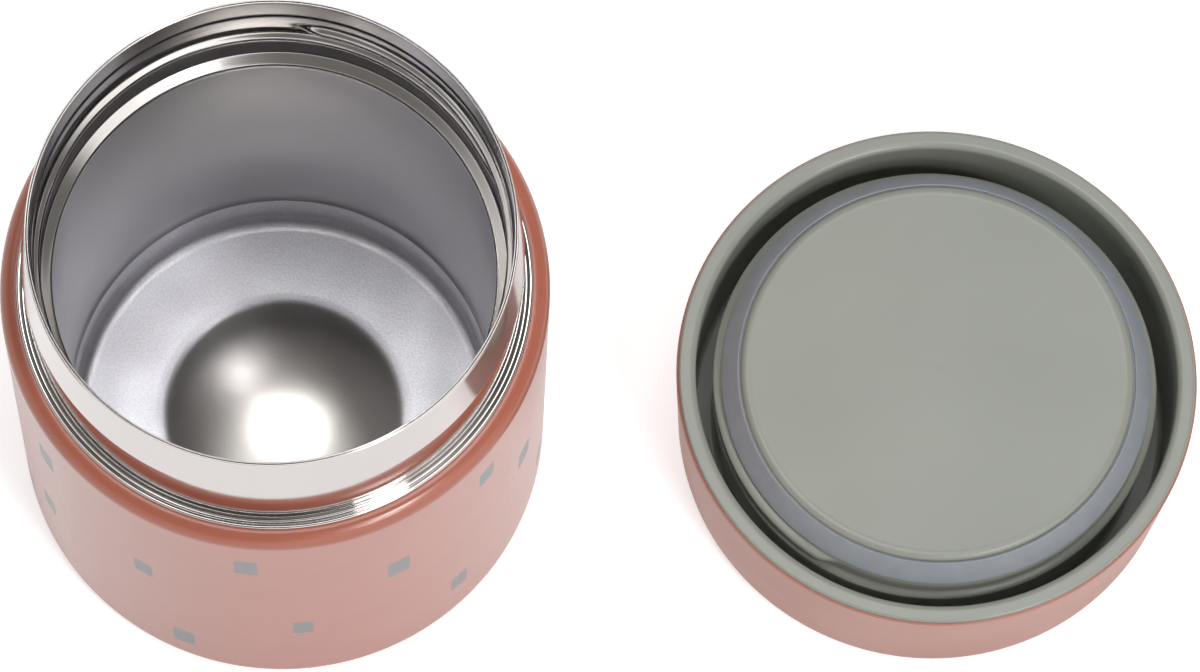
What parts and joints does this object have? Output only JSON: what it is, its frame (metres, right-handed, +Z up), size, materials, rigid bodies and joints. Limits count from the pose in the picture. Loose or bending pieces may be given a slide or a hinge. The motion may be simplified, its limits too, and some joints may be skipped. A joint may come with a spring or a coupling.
{
  "type": "insulated food jar",
  "caption": "Steel vacuum food jar with a threaded neck, its screw lid lying upside down beside it, seal ring up.",
  "frame": {"origin": "centre of the jar's foot, on the surface that the jar stands on", "axes": "+Z up along the jar's axis, +X from the jar towards the lid lying beside it"},
  "size_m": [0.2084, 0.0934, 0.1063],
  "materials": {
    "painted_shell": "soft satin terracotta-pink paint on drawn steel with a pale print",
    "polished_steel": "mirror-polished stainless steel",
    "inner_steel": "satin electropolished stainless steel",
    "bottom_steel": "plain rolled stainless steel",
    "base_cover_plastic": "fine-grained moulded plastic",
    "braze": "dull brazing metal",
    "foil": "bright thin foil",
    "getter_metal": "sintered grey metal",
    "lid_plastic": "satin terracotta-pink moulding",
    "liner_plastic": "satin grey-olive moulded polypropylene",
    "seal_silicone": "translucent blue-grey silicone",
    "foam": "white bead foam"
  },
  "bodies": {
    "jar": {"outer_shell": "painted_shell", "neck_ring": "polished_steel", "inner_liner": "inner_steel", "inner_base_cup": "inner_steel", "outer_base_plate": "bottom_steel", "base_cover": "base_cover_plastic", "vacuum_seal": "braze", "radiation_foil": "foil", "getter_bracket": "bottom_steel", "getter": "getter_metal"},
    "seal": {"seal_ring": "seal_silicone"},
    "lid": {"lid_cover": "lid_plastic", "lid_liner": "liner_plastic", "plug_face": "liner_plastic", "lid_insulation": "foam"}
  },
  "joints": [
    {"name": "lid_lift", "type": "slide", "parent": "jar", "child": "seal", "axis": [0, 0, 1], "range_m": [0, 0.12]},
    {"name": "lid_turn", "type": "hinge", "parent": "seal", "child": "lid", "pos_m": [0.11575, 0, 0.027], "axis": [0, 0, 1], "continuous": true}
  ]
}
